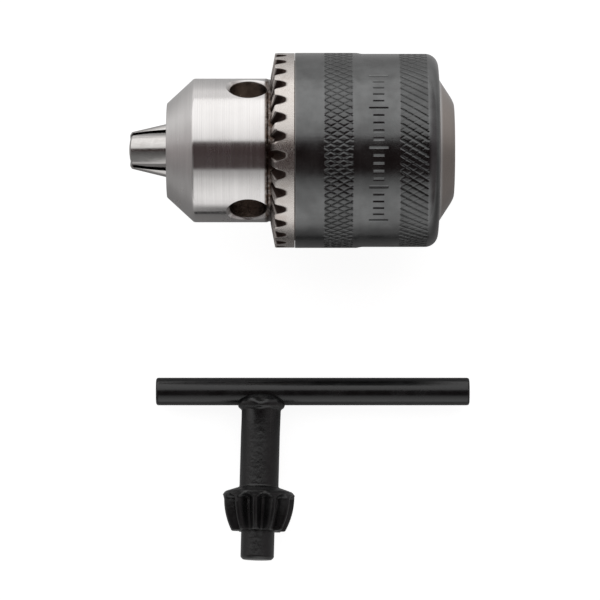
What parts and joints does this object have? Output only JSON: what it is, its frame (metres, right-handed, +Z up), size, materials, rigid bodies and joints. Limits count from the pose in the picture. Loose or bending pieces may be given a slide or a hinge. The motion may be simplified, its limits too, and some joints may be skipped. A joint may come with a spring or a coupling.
{
  "type": "keyed drill chuck with key",
  "caption": "Keyed three-jaw drill chuck with taper socket, bevel-geared knurled sleeve and split nut, lying beside its T-handle pinion key.",
  "frame": {"origin": "on the table, under the centre of the box that holds the chuck and its key", "axes": "+X along the chuck axis from nose to rear face, +Y from the key towards the chuck, +Z up from the table"},
  "size_m": [0.0639, 0.0948, 0.0361],
  "materials": {
    "turned_steel": "bright fine-turned steel with circular tool marks",
    "jaw_steel": "ground hardened steel",
    "nut_steel": "machined steel, lightly oiled",
    "gear_steel": "bare milled steel, warm grey, with browned tooth roots",
    "blackened_shell": "blackened semi-gloss steel, knurled bands",
    "black_key": "black oxide, satin, slightly uneven"
  },
  "bodies": {
    "chuck_body": {"chuck_body": "turned_steel", "thrust_ring": "nut_steel"},
    "sleeve": {"gear_sleeve": "gear_steel", "grip_shell": "blackened_shell", "nut_half_upper": "nut_steel", "nut_half_lower": "nut_steel"},
    "jaw_1": {"jaw_1": "jaw_steel"},
    "jaw_2": {"jaw_2": "jaw_steel"},
    "jaw_3": {"jaw_3": "jaw_steel"},
    "key": {"key_shank": "black_key", "key_bar": "black_key"}
  },
  "joints": [
    {"name": "sleeve_turn", "type": "hinge", "parent": "chuck_body", "child": "sleeve", "pos_m": [0, 0.02933, 0.01805], "axis": [-1, 0, 0], "range_deg": [0, 2862]},
    {"name": "jaw_1_slide", "type": "slide", "parent": "chuck_body", "child": "jaw_1", "axis": [0.9636, 0, 0.2672], "range_m": [0, 0.0159]},
    {"name": "jaw_2_slide", "type": "slide", "parent": "chuck_body", "child": "jaw_2", "axis": [0.9636, 0.2314, -0.1336], "range_m": [0, 0.0159]},
    {"name": "jaw_3_slide", "type": "slide", "parent": "chuck_body", "child": "jaw_3", "axis": [0.9636, -0.2314, -0.1336], "range_m": [0, 0.0159]},
    {"name": "key_lift", "type": "slide", "parent": "chuck_body", "child": "key", "axis": [0, 0, 1], "range_m": [0, 0.06]}
  ],
  "couplings": [
    {"joint": "jaw_1_slide", "follows": "sleeve_turn", "m_per_rad": 0.0003183},
    {"joint": "jaw_2_slide", "follows": "sleeve_turn", "m_per_rad": 0.0003183},
    {"joint": "jaw_3_slide", "follows": "sleeve_turn", "m_per_rad": 0.0003183}
  ]
}
